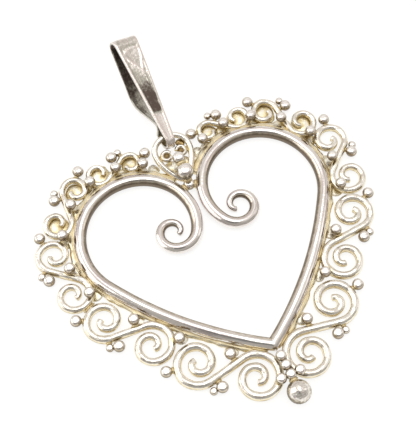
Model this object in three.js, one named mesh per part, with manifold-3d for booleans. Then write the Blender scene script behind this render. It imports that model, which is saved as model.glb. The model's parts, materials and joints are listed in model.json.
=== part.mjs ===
// Open-heart pendant of silver wire: a heart bent from one heavy wire, a border of S-scrolls in
// thinner wire, beads soldered into every notch, a loop in the cleft and a folded bail that swings on it.
// Millimetres. The pendant lies on its back on Z = 0, its bail points along +Y and X runs across it.

import * as THREE from 'three';
import Module from 'manifold-3d';
import { mergeVertices } from 'three/addons/utils/BufferGeometryUtils.js';

// Heart wire: its right half runs from the point of the heart, up the side, over the lobe, down the
// neck and into the curl. It always turns left, so its heading in degrees says where along it one is.
const heartWidth = 28.25;
const heartWireDiameter = 1.4;
const curlEndDiameter = 0.62;
const neckGap = 0.34;
const neckRadius = 5.75;
const lobeOpening = 1.135;
const curlGap = 0.82;
const curlEyeRadius = 0.45;
const tipHeading = 32.7;
const shoulderHeading = 58.2;
const neckHeading = 232;
const curlHeading = 298;
const curlEndHeading = 700;

// Border of scrolls: each scroll is one wire with a spiral at both ends, two spirals to a scroll.
// The wire of the first, by the bail, is the thinnest, and that of the last, at the tip, the heaviest.
// It is hammered at the sides, so it stands taller than it is wide.
const firstScrollWireDiameter = 0.68;
const lastScrollWireDiameter = 0.95;
const scrollHeightShare = 1.25;
const scrollsPerSide = 5;
const smallestSpiralDiameter = 3.1;
const crossingReach = 0.45;
const spiralEyeRadius = 0.5;
const spiralGap = 0.25;
const roundPart = 0.22;
const meetingTurn = 0.34;
const tipSpiralGap = 0.1;

// Beads, by their diameters
const innerBeadDiameter = 1.25;
const innerBeadRoom = 0.5;
const outerBeadDiameter = 1.28;
const pairBeadDiameter = 1.3;
const smallBeadDiameter = 0.88;
const tipBeadDiameter = 1.2;
const tipRowCount = 3;
const tipBallDiameter = 2.6;
const cleftBallDiameter = 1.95;
const neckBallDiameter = 1.35;
const loopBallDiameter = 1.4;
const beadSink = 0.12;

// Loop in the cleft and the two small curls inside it
const loopWidth = 5.3;
const loopHeight = 5.2;
const loopPinch = 0.55;
const loopWireDiameter = 0.7;
const loopCurlDiameter = 1.5;
const loopCurlWireDiameter = 0.45;
const loopCurlStart = 150;
const loopCurlTurn = 290;
const loopCurlShare = 0.6;
const loopSideRoom = 0.4;

// Bail: one tapered strip folded over at the top, pinched together above the loop and joined under it
const bailLength = 12.6;
const bailTopWidth = 3.0;
const bailTailWidth = 1.0;
const bailDepth = 3.9;
const bailBellyShare = 0.42;
const bailShoulderShare = 0.8;
const bailPinchShare = 0.13;
const bailPinchGap = 0.12;
const bailTailReach = 0.45;
const bailThickness = 0.45;
const bailFoldRadius = 0.9;
const bailEyeClearance = 0.13;
const bailRoll = 12;

// Seams: the gap left between pieces that are soldered together, and under the bail
const solderGap = 0.04;
const tableGap = 0.06;

// How finely the curves are divided: sides of a wire's section, degrees from one station to the next
const heartSides = 10;
const scrollSides = 6;
const loopSides = 8;
const sideStep = 4;
const lobeStep = 12;
const neckStep = 13;
const curlStep = 24;
const scrollStep = 30;
const crossingLengths = 3;
const loopStep = 15;
const fineStep = 4;
const fineLengths = 30;

const heartRadius = heartWireDiameter / 2;
const curlEndRadius = curlEndDiameter / 2;
const loopRadius = loopWireDiameter / 2;
const loopCurlWireRadius = loopCurlWireDiameter / 2;
const radians = THREE.MathUtils.degToRad;

const silver = { color: 0xd9d5cc, roughness: 0.28, metalness: 1 };
const warmSilver = { color: 0xd8cfae, roughness: 0.32, metalness: 1 };
const greySilver = { color: 0xb9b4ad, roughness: 0.3, metalness: 1 };

const pendant = new THREE.Group();

function addMesh(name, geometry, finish) {
  const mesh = new THREE.Mesh(geometry, new THREE.MeshStandardMaterial(finish));
  mesh.name = name;
  pendant.add(mesh);
  return mesh;
}

// How far one moves along an arc whose radius goes steadily from one value to another as it turns
function arcShift(fromHeading, toHeading, fromRadius, toRadius) {
  const start = radians(fromHeading);
  const end = radians(toHeading);
  const growth = end === start ? 0 : (toRadius - fromRadius) / (end - start);
  const x = toRadius * Math.sin(end) + growth * Math.cos(end)
    - fromRadius * Math.sin(start) - growth * Math.cos(start);
  const y = growth * Math.sin(end) - toRadius * Math.cos(end)
    - growth * Math.sin(start) + fromRadius * Math.cos(start);
  return new THREE.Vector2(x, y);
}

// A value between two ends, by how far a heading has come between two headings
function blend(heading, fromHeading, toHeading, from, to) {
  return from + (to - from) * (heading - fromHeading) / (toHeading - fromHeading);
}

// The lobe's radius follows from the width between the neck and the widest point of the heart,
// and the side's radius then brings the lobe out to that widest point from the heart's tip.
const widestHeading = 90;
const closestHeading = 270;
const neckHalfWidth = heartRadius + neckGap / 2;
const openingAtWidest = blend(widestHeading, shoulderHeading, neckHeading, lobeOpening, 1);
const lobeSpanPerRadius = -arcShift(widestHeading, neckHeading, openingAtWidest, 1).x;
const neckSpan = -arcShift(neckHeading, closestHeading, neckRadius, neckRadius).x;
const lobeRadius = (heartWidth / 2 - neckHalfWidth - neckSpan) / lobeSpanPerRadius;
const shoulderRadius = lobeRadius * lobeOpening;
const widestRadius = lobeRadius * openingAtWidest;
const shoulderSpan = arcShift(shoulderHeading, widestHeading, shoulderRadius, widestRadius).x;
const sideSpanPerRadius = arcShift(tipHeading, shoulderHeading, 1, 1).x;
const sideRadius = (heartWidth / 2 - shoulderSpan) / sideSpanPerRadius;

// The curl's turns lie one wire and a gap apart
const curlTurns = (curlEndHeading - curlHeading) / 360;
const curlPitch = heartRadius + curlEndRadius + curlGap;
const curlRadius = curlEyeRadius + curlPitch * curlTurns;

const side = { from: tipHeading, to: shoulderHeading, step: sideStep };
const lobe = { from: shoulderHeading, to: neckHeading, step: lobeStep };
const neck = { from: neckHeading, to: curlHeading, step: neckStep };
const curl = { from: curlHeading, to: curlEndHeading, step: curlStep };
const heartArcs = [
  { ...side, fromRadius: sideRadius, toRadius: sideRadius },
  { ...lobe, fromRadius: shoulderRadius, toRadius: lobeRadius },
  { ...neck, fromRadius: neckRadius, toRadius: neckRadius },
  { ...curl, fromRadius: curlRadius, toRadius: curlEyeRadius },
];

// Point on the right half's centreline at a heading; before the tip the side's arc simply goes on
function heartPoint(heading) {
  const point = new THREE.Vector2(0, 0);
  for (const arc of heartArcs) {
    const last = arc.to >= heading || arc === heartArcs.at(-1);
    const end = last ? heading : arc.to;
    const endRadius = blend(end, arc.from, arc.to, arc.fromRadius, arc.toRadius);
    point.add(arcShift(arc.from, end, arc.fromRadius, endRadius));
    if (last) break;
  }
  return point;
}

// The wire keeps its full size up to the curl and is drawn out thinner from there to its end
function heartWireRadius(heading) {
  if (heading < curlHeading) return heartRadius;
  return blend(heading, curlHeading, curlEndHeading, heartRadius, curlEndRadius);
}

// Point at a distance outside the heart wire's centreline, square to the wire
function outsideHeart(heading, distance) {
  const angle = radians(heading);
  const outward = new THREE.Vector2(Math.sin(angle), -Math.cos(angle));
  return heartPoint(heading).addScaledVector(outward, distance);
}

// A wire's station on the back plane: its flat underside lies on Z = 0
function stationOnBack(point, radius, sides, tall = 1) {
  return { x: point.x, y: point.y, z: radius * tall * Math.cos(Math.PI / sides), radius, tall };
}

// Closed solid of a wire along stations, with one flat of its section facing down.
// stretch widens a section sideways, where two lengths of wire meet in a mitre, and tall heightens it.
function wireGeometry(stations, sides, ring = false) {
  const count = stations.length;
  const positions = [];
  const triangles = [];
  stations.forEach((station, i) => {
    const before = stations[ring ? (i + count - 1) % count : Math.max(i - 1, 0)];
    const after = stations[ring ? (i + 1) % count : Math.min(i + 1, count - 1)];
    const sideways = new THREE.Vector2(before.y - after.y, after.x - before.x).normalize();
    const width = station.radius * (station.stretch ?? 1);
    const height = station.radius * (station.tall ?? 1);
    for (let j = 0; j < sides; j += 1) {
      const angle = (2 * Math.PI * (j + 0.5)) / sides - Math.PI / 2;
      const across = width * Math.cos(angle);
      positions.push(station.x + sideways.x * across);
      positions.push(station.y + sideways.y * across);
      positions.push(station.z + height * Math.sin(angle));
    }
  });
  const lastLength = ring ? count : count - 1;
  for (let i = 0; i < lastLength; i += 1) {
    const here = i * sides;
    const next = ((i + 1) % count) * sides;
    for (let j = 0; j < sides; j += 1) {
      const k = (j + 1) % sides;
      triangles.push(here + j, here + k, next + j);
      triangles.push(here + k, next + k, next + j);
    }
  }
  if (!ring) {
    const end = (count - 1) * sides;
    for (let j = 1; j < sides - 1; j += 1) {
      triangles.push(0, j + 1, j);
      triangles.push(end, end + j, end + j + 1);
    }
  }
  const geometry = new THREE.BufferGeometry();
  geometry.setAttribute('position', new THREE.Float32BufferAttribute(positions, 3));
  geometry.setIndex(triangles);
  return geometry;
}

function mirrored(item) {
  return { ...item, x: -item.x };
}

// Everything placed so far, as balls strung along the wires, for later beads to rest against.
// A wire that is taller than wide is two strings, one for its upper half and one for its lower half.
const placed = [];

function place(stations) {
  for (const station of stations) {
    const rise = station.radius * ((station.tall ?? 1) - 1);
    placed.push({ ...station, z: station.z + rise });
    if (rise > 0) placed.push({ ...station, z: station.z - rise });
  }
}

// How far a bead goes from a start along a direction until it lies against what is placed already
function travelToTouch(start, direction, radius, farthest) {
  let travel = farthest;
  for (const ball of placed) {
    const reach = radius + ball.radius + solderGap;
    const toBall = new THREE.Vector3(ball.x, ball.y, ball.z).sub(start);
    const along = toBall.dot(direction);
    const missSquared = toBall.lengthSq() - along * along;
    if (along > 0 && missSquared < reach * reach) {
      travel = Math.min(travel, along - Math.sqrt(reach * reach - missSquared));
    }
  }
  return travel;
}

// A bead pushed along the back plane, from far off, until it touches
const farOff = 2 * heartWidth;

function slideBead(target, inward, radius) {
  const direction = new THREE.Vector3(inward.x, inward.y, 0).normalize();
  const start = new THREE.Vector3(target.x, target.y, radius).addScaledVector(direction, -farOff);
  start.addScaledVector(direction, travelToTouch(start, direction, radius, farOff));
  return { x: start.x, y: start.y, z: start.z, radius };
}

// A bead let down on to the wires below it, or on to the back plane
function dropBead(target, radius) {
  const start = new THREE.Vector3(target.x, target.y, farOff);
  const fall = travelToTouch(start, new THREE.Vector3(0, 0, -1), radius, farOff - radius);
  return { x: target.x, y: target.y, z: farOff - fall, radius };
}

function beadGeometry(bead) {
  return new THREE.IcosahedronGeometry(bead.radius, 1).translate(bead.x, bead.y, bead.z);
}

function addBead(name, bead, finish) {
  addMesh(name, beadGeometry(bead), finish);
  place([bead]);
}

const wasm = await Module();
wasm.setup();

function solidOf(geometry) {
  const bare = geometry.clone();
  bare.deleteAttribute('normal');
  bare.deleteAttribute('uv');
  const merged = mergeVertices(bare);
  const vertProperties = new Float32Array(merged.attributes.position.array);
  const triVerts = new Uint32Array(merged.index.array);
  return new wasm.Manifold(new wasm.Mesh({ numProp: 3, vertProperties, triVerts }));
}

// Beads that are soldered into one lump
function lumpGeometry(beads) {
  let lump = solidOf(beadGeometry(beads[0]));
  for (const bead of beads.slice(1)) {
    lump = lump.add(solidOf(beadGeometry(bead)));
  }
  const mesh = lump.getMesh();
  const geometry = new THREE.BufferGeometry();
  geometry.setAttribute('position', new THREE.BufferAttribute(mesh.vertProperties, 3));
  geometry.setIndex(new THREE.BufferAttribute(mesh.triVerts, 1));
  return geometry;
}

// Heart wire: one length, notched and folded at the point, both ends curled in
function heartStations(stepScale) {
  const stations = [];
  for (const arc of heartArcs) {
    const steps = Math.ceil((arc.to - arc.from) / (arc.step * stepScale));
    for (let i = 1; i <= steps; i += 1) {
      const heading = blend(i, 0, steps, arc.from, arc.to);
      stations.push(stationOnBack(heartPoint(heading), heartWireRadius(heading), heartSides));
    }
  }
  return stations;
}

const tipStation = stationOnBack(heartPoint(tipHeading), heartRadius, heartSides);
tipStation.stretch = 1 / Math.cos(radians(tipHeading));
const heartHalf = heartStations(1);
const heartPath = [...heartHalf.map(mirrored).reverse(), tipStation, ...heartHalf];
addMesh('heart_wire', wireGeometry(heartPath, heartSides), silver);
const heartFine = heartStations(1 / fineStep);
place([tipStation, ...heartFine, ...heartFine.map(mirrored)]);

// Ball wedged low in the cleft, between the two necks
const middle = new THREE.Vector2(0, 0);
addBead('neck_ball', slideBead(middle, new THREE.Vector2(0, -1), neckBallDiameter / 2), silver);

// Loop: an egg-shaped ring that stands in the cleft and rises towards its top, so that the bail's
// strip passes under it. turn is 0 at the top and 180 at the foot. The bail lies rolled to one side, so
// its eye is wider by as much as the roll lifts the strip's edges, and so is the room under the loop,
// which also leaves room for the bail's tail to slope down.
const loopFootHeight = loopRadius * Math.cos(Math.PI / loopSides);
const edgeLift = (width) => (width / 2) * Math.sin(radians(bailRoll));
const bailEyeRadius = loopRadius + bailEyeClearance + edgeLift(bailTailWidth);
const tailDrop = (bailTailReach * bailDepth) / bailLength;
const hingeHeight = bailEyeRadius + bailThickness + edgeLift(bailTopWidth) + tailDrop + tableGap;

function loopStation(turn, footLevel) {
  const angle = radians(turn);
  const lowness = (1 - Math.cos(angle)) / 2;
  return {
    x: (loopWidth / 2) * Math.sin(angle) * (1 - loopPinch * lowness),
    y: footLevel + loopHeight * (1 - lowness),
    z: hingeHeight + (loopFootHeight - hingeHeight) * lowness,
    radius: loopRadius,
  };
}

function loopStations(step, footLevel) {
  return Array.from({ length: 360 / step }, (_, i) => loopStation(i * step, footLevel));
}

// The ring is let down into the cleft until it stands on what is there
function loopFall() {
  const falls = loopStations(fineStep, farOff).map((station) => {
    const start = new THREE.Vector3(station.x, station.y, station.z);
    return travelToTouch(start, new THREE.Vector3(0, -1, 0), loopRadius, 2 * farOff);
  });
  return Math.min(...falls);
}

const loopFoot = farOff - loopFall();
const loopTop = loopFoot + loopHeight;
addMesh('bail_loop', wireGeometry(loopStations(loopStep, loopFoot).reverse(), loopSides, true), warmSilver);
place(loopStations(fineStep, loopFoot));

// Curls inside the loop, one against each of its sides
const loopCurlRadius = loopCurlDiameter / 2 - loopCurlWireRadius;
const curlLevel = loopFoot + loopCurlShare * loopHeight;
const curlHeight = loopFootHeight + (hingeHeight - loopFootHeight) * loopCurlShare;
const curlStart = new THREE.Vector3(0, curlLevel, curlHeight);
const curlTravel = travelToTouch(curlStart, new THREE.Vector3(1, 0, 0), loopCurlDiameter / 2, loopWidth);

function loopCurlStations() {
  const steps = 12;
  return Array.from({ length: steps + 1 }, (_, i) => {
    const angle = radians(loopCurlStart - (loopCurlTurn * i) / steps);
    return {
      x: curlTravel + loopCurlRadius * Math.cos(angle),
      y: curlLevel + loopCurlRadius * Math.sin(angle),
      z: curlHeight,
      radius: loopCurlWireRadius,
    };
  });
}

const loopCurl = loopCurlStations();
addMesh('loop_curl_right', wireGeometry(loopCurl, scrollSides), warmSilver);
addMesh('loop_curl_left', wireGeometry(loopCurl.map(mirrored), scrollSides), warmSilver);
place([...loopCurl, ...loopCurl.map(mirrored)]);

// Ball that covers the loop's foot, and a smaller one next to it inside the loop
const cleftRadius = cleftBallDiameter / 2;
const cleftBall = dropBead({ x: 0, y: loopFoot }, cleftRadius);
addBead('cleft_ball', cleftBall, silver);
const loopBallRadius = loopBallDiameter / 2;
const loopBall = dropBead({ x: 0, y: loopFoot + cleftRadius + loopBallRadius }, loopBallRadius);
addBead('loop_ball', loopBall, silver);

// Spirals of the border, numbered from the bail to the tip. They grow evenly along the way, and the
// largest is worked out so that the last one on each side meets its twin under the heart's point.
const spiralCount = 2 * scrollsPerSide;
const smallestSpiral = smallestSpiralDiameter / 2;

function scrollWireDiameter(scroll) {
  return blend(scroll, 0, scrollsPerSide - 1, firstScrollWireDiameter, lastScrollWireDiameter);
}

// A spiral's wire keeps its outer radius for the round part of a turn and then draws in, so that
// each turn clears the one outside it. Where one scroll meets the next, a bit past a third of a turn
// in, both have drawn in already and the two nest into each other.
function spiralPitch(scroll) {
  return (scrollWireDiameter(scroll) + spiralGap) / (1 - roundPart);
}

function nestDepth(scroll) {
  return (spiralPitch(scroll - 1) + spiralPitch(scroll)) * Math.max(meetingTurn - roundPart, 0);
}

function spiralRadius(index, largest) {
  return smallestSpiral + ((largest - smallestSpiral) * index) / (spiralCount - 1);
}

// Halving search for where a rising function crosses zero
function crossing(low, high, value) {
  let below = low;
  let above = high;
  for (let i = 0; i < 50; i += 1) {
    const half = (below + above) / 2;
    if (value(half) < 0) below = half;
    else above = half;
  }
  return (below + above) / 2;
}

function spiralAt(heading, radius) {
  const centre = outsideHeart(heading, heartRadius + radius + solderGap);
  return { heading, radius, x: centre.x, y: centre.y };
}

function spiralChain(largest) {
  const first = spiralRadius(0, largest);
  const firstAcross = loopWidth / 2 + loopRadius + loopSideRoom + first;
  const firstBack = crossing(-neckHeading, -widestHeading, (back) => spiralAt(-back, first).x - firstAcross);
  const chain = [spiralAt(-firstBack, first)];
  for (let index = 1; index < spiralCount; index += 1) {
    const last = chain[index - 1];
    const radius = spiralRadius(index, largest);
    const reach = index % 2 === 1 ? crossingReach : solderGap - nestDepth(index / 2);
    const spacing = last.radius + radius + reach;
    const back = crossing(-last.heading, -tipHeading + widestHeading, (turned) => {
      const next = spiralAt(-turned, radius);
      return Math.hypot(next.x - last.x, next.y - last.y) - spacing;
    });
    chain.push(spiralAt(-back, radius));
  }
  return chain;
}

const largestSpiral = crossing(smallestSpiral, heartWidth / 4, (largest) => {
  const last = spiralChain(largest).at(-1);
  return last.radius + tipSpiralGap / 2 - last.x;
});
const spirals = spiralChain(largestSpiral);

// Centreline of a spiral from where the crossing wire meets it to its free end, turning anticlockwise
function spiralPath(spiral, scroll, startAngle, step) {
  const pitch = spiralPitch(scroll);
  const outer = spiral.radius - scrollWireDiameter(scroll) / 2;
  const turns = roundPart + Math.max(outer - spiralEyeRadius, 0) / pitch;
  const steps = Math.ceil((turns * 360) / step);
  return Array.from({ length: steps + 1 }, (_, i) => {
    const turn = (turns * i) / steps;
    const radius = outer - pitch * Math.max(turn - roundPart, 0);
    const angle = startAngle + 2 * Math.PI * turn;
    return new THREE.Vector2(spiral.x + radius * Math.cos(angle), spiral.y + radius * Math.sin(angle));
  });
}

// A scroll: out of one spiral, straight across between the two, and into the other. The straight
// touches the first spiral on the border's outside and the second along the heart wire.
function scrollStations(scroll, step, lengths) {
  const first = spirals[2 * scroll];
  const second = spirals[2 * scroll + 1];
  const wire = scrollWireDiameter(scroll);
  const between = Math.atan2(second.y - first.y, second.x - first.x);
  const spacing = Math.hypot(second.x - first.x, second.y - first.y);
  const touching = first.radius + second.radius - wire;
  const startAngle = between + Math.acos(touching / spacing);
  const into = spiralPath(first, scroll, startAngle, step).reverse();
  const onward = spiralPath(second, scroll, startAngle + Math.PI, step);
  const across = Array.from({ length: lengths - 1 }, (_, i) =>
    into.at(-1).clone().lerp(onward[0], (i + 1) / lengths));
  const centreline = [...into, ...across, ...onward];
  return centreline.map((point) => stationOnBack(point, wire / 2, scrollSides, scrollHeightShare));
}

for (let scroll = 0; scroll < scrollsPerSide; scroll += 1) {
  const path = scrollStations(scroll, scrollStep, crossingLengths);
  addMesh(`scroll_right_${scroll + 1}`, wireGeometry(path, scrollSides), warmSilver);
  addMesh(`scroll_left_${scroll + 1}`, wireGeometry(path.map(mirrored), scrollSides), warmSilver);
  const fine = scrollStations(scroll, fineStep, fineLengths);
  place([...fine, ...fine.map(mirrored)]);
}

// Row of beads below the heart's point, with one more on each side at its foot
const tipBeadRadius = tipBeadDiameter / 2;
const tipBeadSpacing = tipBeadDiameter - beadSink;
const heartPointLevel = tipStation.y - heartRadius * tipStation.stretch;
const rowTop = heartPointLevel - tipBeadRadius - 2 * beadSink;
const tipRow = Array.from({ length: tipRowCount }, (_, row) => ({ x: 0, y: rowTop - row * tipBeadSpacing }));
const rowFoot = tipRow.at(-1);
const tipPlaces = [...tipRow, { x: tipBeadSpacing, y: rowFoot.y }, { x: -tipBeadSpacing, y: rowFoot.y }];
const tipHeights = tipPlaces.map((spot) => dropBead(spot, tipBeadRadius).z);
const tipLevel = Math.max(...tipHeights);
const tipBeads = tipPlaces.map((spot) => ({ ...spot, z: tipLevel, radius: tipBeadRadius }));
addMesh('tip_beads', lumpGeometry(tipBeads), silver);
place(tipBeads);

// Ball below the row, at the very tip
addBead('tip_ball', slideBead(middle, new THREE.Vector2(0, 1), tipBallDiameter / 2), silver);

// Notches of the border: notch 0 lies between the loop and the first spiral, the others between
// spirals. Each has a bead against the heart wire and a bead, or a pair of beads, outside.
const loopCircle = { x: 0, y: loopFoot + loopHeight / 2, radius: loopWidth / 2 + loopRadius };
const notches = [loopCircle, ...spirals].slice(0, spiralCount).map((before, index) => {
  const after = spirals[index];
  const toNext = new THREE.Vector2(after.x - before.x, after.y - before.y);
  const share = before.radius / (before.radius + after.radius);
  const middleOfNotch = new THREE.Vector2(before.x, before.y).addScaledVector(toNext, share);
  const outward = new THREE.Vector2(-toNext.y, toNext.x).normalize();
  return { before, after, middle: middleOfNotch, outward, towardsBail: toNext.clone().normalize().negate() };
});

// Heading of the heart wire beside a notch: between its two spirals, or short of the first one
function notchHeading(notch, index, beadOffset) {
  if (index > 0) {
    const share = notch.before.radius / (notch.before.radius + notch.after.radius);
    return notch.before.heading + (notch.after.heading - notch.before.heading) * share;
  }
  return crossing(notch.after.heading, closestHeading, (heading) => {
    const spot = outsideHeart(heading, beadOffset);
    return Math.hypot(spot.x - notch.after.x, spot.y - notch.after.y) - notch.after.radius;
  });
}

const innerBeadRadius = innerBeadDiameter / 2;
const innerBeadOffset = heartRadius + innerBeadRadius + innerBeadRoom;
notches.forEach((notch, index) => {
  const spot = outsideHeart(notchHeading(notch, index, innerBeadOffset), innerBeadOffset);
  const bead = dropBead(spot, innerBeadRadius);
  addBead(`inner_bead_right_${index}`, bead, warmSilver);
  addBead(`inner_bead_left_${index}`, mirrored(bead), warmSilver);
});

// The smaller bead of a pair is rolled round the larger one, from its bail side outwards, until clear.
// Where no place is clear it is let down straight outside the larger one.
const pairRadius = pairBeadDiameter / 2;
const smallRadius = smallBeadDiameter / 2;
const pairSpacing = pairRadius + smallRadius - beadSink;

const firstRoll = 20;
const lastRoll = 160;
const rollStep = 2;

function smallBeadAt(large, notch, roll) {
  const angle = radians(roll);
  return {
    x: large.x + pairSpacing * (notch.towardsBail.x * Math.cos(angle) + notch.outward.x * Math.sin(angle)),
    y: large.y + pairSpacing * (notch.towardsBail.y * Math.cos(angle) + notch.outward.y * Math.sin(angle)),
    z: smallRadius,
    radius: smallRadius,
  };
}

function smallBeadBeside(large, notch) {
  for (let roll = firstRoll; roll <= lastRoll; roll += rollStep) {
    const small = smallBeadAt(large, notch, roll);
    const clear = placed.every((ball) => {
      const distance = Math.hypot(ball.x - small.x, ball.y - small.y, ball.z - small.z);
      return distance > ball.radius + smallRadius + solderGap;
    });
    if (clear) return small;
  }
  return dropBead(smallBeadAt(large, notch, 90), smallRadius);
}

notches.forEach((notch, index) => {
  const inward = notch.outward.clone().negate();
  if (index % 2 === 0) {
    const bead = slideBead(notch.middle, inward, outerBeadDiameter / 2);
    addBead(`outer_bead_right_${index}`, bead, warmSilver);
    addBead(`outer_bead_left_${index}`, mirrored(bead), warmSilver);
  } else {
    const large = slideBead(notch.middle, inward, pairRadius);
    const pair = [large, smallBeadBeside(large, notch)];
    addMesh(`bead_pair_right_${index}`, lumpGeometry(pair), warmSilver);
    addMesh(`bead_pair_left_${index}`, lumpGeometry(pair.map(mirrored)), warmSilver);
    place([...pair, ...pair.map(mirrored)]);
  }
});

// Bail, seen from its side: round the tail below the loop's top wire, straight along the front, over
// the fold and back in a bow. along runs from the loop's wire to the fold, out from the back to the front.
const stripMiddle = bailEyeRadius + bailThickness / 2;
const foldCentre = bailLength - bailFoldRadius - bailThickness / 2;
const bowDepth = bailDepth - bailThickness;

function bailOutline() {
  const outline = [];
  const eyeSteps = 6;
  for (let i = 0; i <= eyeSteps; i += 1) {
    const angle = radians(270 - (180 * i) / eyeSteps);
    const along = stripMiddle * Math.cos(angle) - bailTailReach;
    outline.push({ along, out: stripMiddle * Math.sin(angle) });
  }
  const frontSteps = 6;
  for (let i = 1; i < frontSteps; i += 1) {
    outline.push({ along: blend(i, 0, frontSteps, -bailTailReach, foldCentre), out: stripMiddle });
  }
  const foldSteps = 5;
  const foldOut = stripMiddle - bailFoldRadius;
  for (let i = 0; i <= foldSteps; i += 1) {
    const angle = radians(90 - (180 * i) / foldSteps);
    outline.push({
      along: foldCentre + bailFoldRadius * Math.cos(angle),
      out: foldOut + bailFoldRadius * Math.sin(angle),
    });
  }
  // The back runs off straight from the fold, is deepest at the belly, comes up against the front at the
  // pinch and goes round behind the loop's wire to the tail
  const belly = bailBellyShare * bailLength;
  const back = new THREE.SplineCurve([
    new THREE.Vector2(foldCentre, foldOut - bailFoldRadius),
    new THREE.Vector2((foldCentre + belly) / 2, stripMiddle - bailShoulderShare * bowDepth),
    new THREE.Vector2(belly, stripMiddle - bowDepth),
    new THREE.Vector2(bailPinchShare * bailLength, stripMiddle - bailThickness - bailPinchGap),
    new THREE.Vector2(bailEyeRadius, -stripMiddle),
    new THREE.Vector2(-bailTailReach, -stripMiddle),
  ]);
  const backSteps = 20;
  for (let i = 1; i < backSteps; i += 1) {
    const spot = back.getPointAt(i / backSteps);
    outline.push({ along: spot.x, out: spot.y });
  }
  return outline;
}

function bailGeometry() {
  const outline = bailOutline();
  const count = outline.length;
  const positions = [];
  const triangles = [];
  outline.forEach((spot, i) => {
    const before = outline[(i + count - 1) % count];
    const after = outline[(i + 1) % count];
    const square = new THREE.Vector2(before.out - after.out, after.along - before.along).normalize();
    const share = (spot.along + bailTailReach + stripMiddle) / (bailLength + bailTailReach + stripMiddle);
    const halfWidth = (bailTailWidth + (bailTopWidth - bailTailWidth) * share) / 2;
    for (const [across, depth] of [[-1, -1], [1, -1], [1, 1], [-1, 1]]) {
      positions.push(across * halfWidth);
      positions.push(spot.along + (square.x * depth * bailThickness) / 2);
      positions.push(spot.out + (square.y * depth * bailThickness) / 2);
    }
  });
  for (let i = 0; i < count; i += 1) {
    const here = i * 4;
    const next = ((i + 1) % count) * 4;
    for (let j = 0; j < 4; j += 1) {
      const k = (j + 1) % 4;
      triangles.push(here + j, next + j, here + k);
      triangles.push(here + k, next + j, next + k);
    }
  }
  const geometry = new THREE.BufferGeometry();
  geometry.setAttribute('position', new THREE.Float32BufferAttribute(positions, 3));
  geometry.setIndex(triangles);
  return geometry;
}

// The bail lies rolled a little to its left and is let down until its bowed back meets the table
const bail = addMesh('bail', bailGeometry(), greySilver);
bail.position.set(0, loopTop, hingeHeight);

function bailLowest(pitch) {
  bail.rotation.set(radians(pitch), radians(bailRoll), 0);
  return new THREE.Box3().setFromObject(bail, true).min.z;
}

const bailPitch = crossing(0, 60, (pitch) => bailLowest(pitch) - tableGap);
bailLowest(bailPitch);

// The origin is under the middle of the whole pendant, on the plane that it lies on
const box = new THREE.Box3().setFromObject(pendant, true);
pendant.position.set(-(box.min.x + box.max.x) / 2, -(box.min.y + box.max.y) / 2, -box.min.z);

const part = new THREE.Group();
part.add(pendant);

export default part;
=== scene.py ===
# Open-heart pendant of silver wire, lying on its back on a white table: an open heart with curled ends,
# a border of scrolls with beads in its notches, and a folded bail that swings on a loop in the cleft.
# Lengths are in millimetres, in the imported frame, up to the point where a mesh is made in metres.

import json
import math

import bpy
import numpy as np
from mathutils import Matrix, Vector


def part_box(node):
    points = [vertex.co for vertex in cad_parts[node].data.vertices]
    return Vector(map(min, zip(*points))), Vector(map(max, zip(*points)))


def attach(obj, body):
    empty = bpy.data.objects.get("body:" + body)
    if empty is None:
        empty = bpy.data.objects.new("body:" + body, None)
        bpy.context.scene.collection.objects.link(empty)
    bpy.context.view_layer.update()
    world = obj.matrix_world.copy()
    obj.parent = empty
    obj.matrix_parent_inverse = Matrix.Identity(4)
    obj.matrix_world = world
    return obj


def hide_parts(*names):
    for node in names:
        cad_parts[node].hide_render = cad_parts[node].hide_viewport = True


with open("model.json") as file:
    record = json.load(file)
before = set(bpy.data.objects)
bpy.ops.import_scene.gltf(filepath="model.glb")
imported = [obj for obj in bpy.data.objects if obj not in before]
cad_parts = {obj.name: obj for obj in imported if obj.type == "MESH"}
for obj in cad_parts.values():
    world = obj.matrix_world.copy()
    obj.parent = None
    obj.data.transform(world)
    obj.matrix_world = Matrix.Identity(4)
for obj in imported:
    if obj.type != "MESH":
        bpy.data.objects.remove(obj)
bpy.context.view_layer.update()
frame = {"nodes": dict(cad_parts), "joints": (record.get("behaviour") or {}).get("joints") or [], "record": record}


# Heart wire: one length of heavy round silver wire, folded to a point at the tip and bent to a heart
# over a former. Both ends are drawn out thinner and curled in, and the back is rubbed flat by wear.

millimetre = 0.001
up = np.array([0.0, 0.0, 1.0])
mirrored = np.array([-1, 1, 1])
mounts = {mount["name"]: np.array(mount["pos_m"]) / millimetre for mount in frame["record"]["mounts"]}
tip_point = mounts["back_rest"][:2]

heart_width = 28.25
heart_radius = 0.7
heart_sides = 28
heart_solid_sides = 10
heart_station = 0.16
heart_wave = 9.0
heart_unevenness = 0.012
curl_end_radius = 0.31
neck_gap = 0.34
neck_radius = 5.75
lobe_opening = 1.135
curl_gap = 0.82
curl_eye_radius = 0.45
# The inside of the heart is darkened by this share, tarnish and painted shade together; the outside is rubbed
# bright by the next.
inside_shade_and_tarnish = 0.7
outside_polish = 0.9

tip_heading = math.radians(32.7)
shoulder_heading = math.radians(58.2)
widest_heading = math.radians(90)
neck_heading = math.radians(232)
closest_heading = math.radians(270)
curl_heading = math.radians(298)
curl_end_heading = math.radians(700)


def arc_shift(start, end, radius, growth):
    """Shift along an arc from one heading to another: the integral of radius times the heading's direction,
    with a radius that grows by a fixed amount for each radian turned."""
    last = radius + growth * (end - start)
    x = last * np.sin(end) + growth * np.cos(end) - radius * np.sin(start) - growth * np.cos(start)
    y = growth * np.sin(end) - last * np.cos(end) - growth * np.sin(start) + radius * np.cos(start)
    return np.stack([x, y], axis=-1)


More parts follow.
